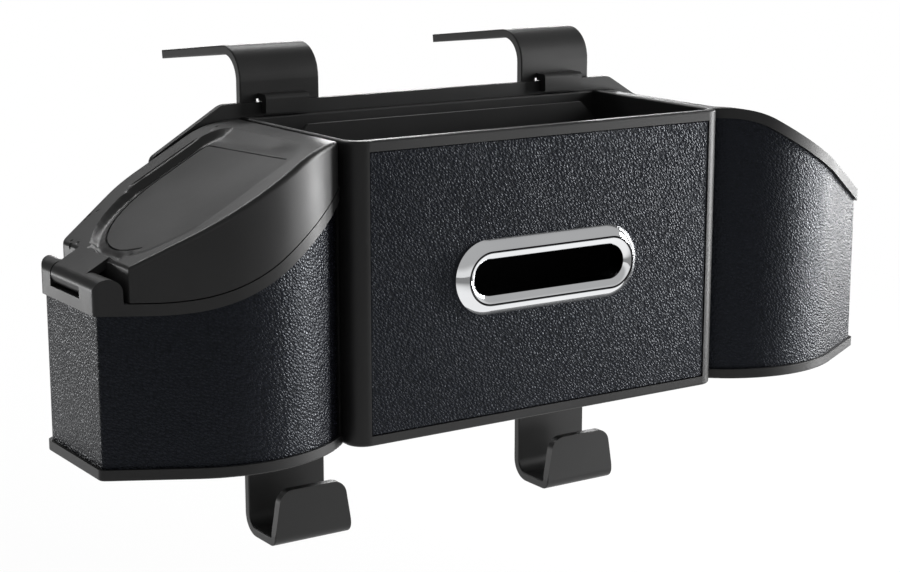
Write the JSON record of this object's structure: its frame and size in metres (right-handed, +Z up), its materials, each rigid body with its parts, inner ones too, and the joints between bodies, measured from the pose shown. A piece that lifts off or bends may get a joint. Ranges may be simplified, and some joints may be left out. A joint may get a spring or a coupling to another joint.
{
  "type": "hanging car organizer box",
  "caption": "Organizer that hangs from a console edge: middle box with tissue slot and phone slot, a lidded bin, an open bin, hanger straps with bag hooks.",
  "frame": {"origin": "midway between the two hanger straps, on the plane of their rear faces, at the highest level of the underside of their upper flanges: the edge that the organizer hangs from", "axes": "+X along the width, towards the open bin; +Y to the back, towards the console that carries it; +Z up"},
  "size_m": [0.4066, 0.1854, 0.2234],
  "materials": {
    "frame_plastic": "satin, fine grain",
    "lid_plastic": "satin, fine grain",
    "hook_plastic": "satin",
    "leather_black": "pebbled grain, slight sheen",
    "bright_chrome": "polished",
    "plain_steel": "plain"
  },
  "bodies": {
    "frame": {"back_plate": "frame_plastic", "middle_box": "frame_plastic", "front_pad": "leather_black", "slot_bezel": "bright_chrome", "divider": "frame_plastic", "left_bin_base": "frame_plastic", "left_bin_wall": "frame_plastic", "left_bin_wrap": "leather_black", "left_bin_rim": "lid_plastic", "right_bin_base": "frame_plastic", "right_bin_wall": "frame_plastic", "right_bin_wrap": "leather_black", "right_bin_rim": "frame_plastic", "hinge_pin": "plain_steel", "left_hook": "hook_plastic", "right_hook": "hook_plastic", "plate_screws": "plain_steel", "hook_screws": "plain_steel"},
    "cover": {"lid": "lid_plastic"}
  },
  "joints": [
    {"name": "lid_hinge", "type": "hinge", "parent": "frame", "child": "cover", "pos_m": [-0.1983, -0.05635, -0.07803], "axis": [0, -1, 0], "range_deg": [0, 110]}
  ]
}
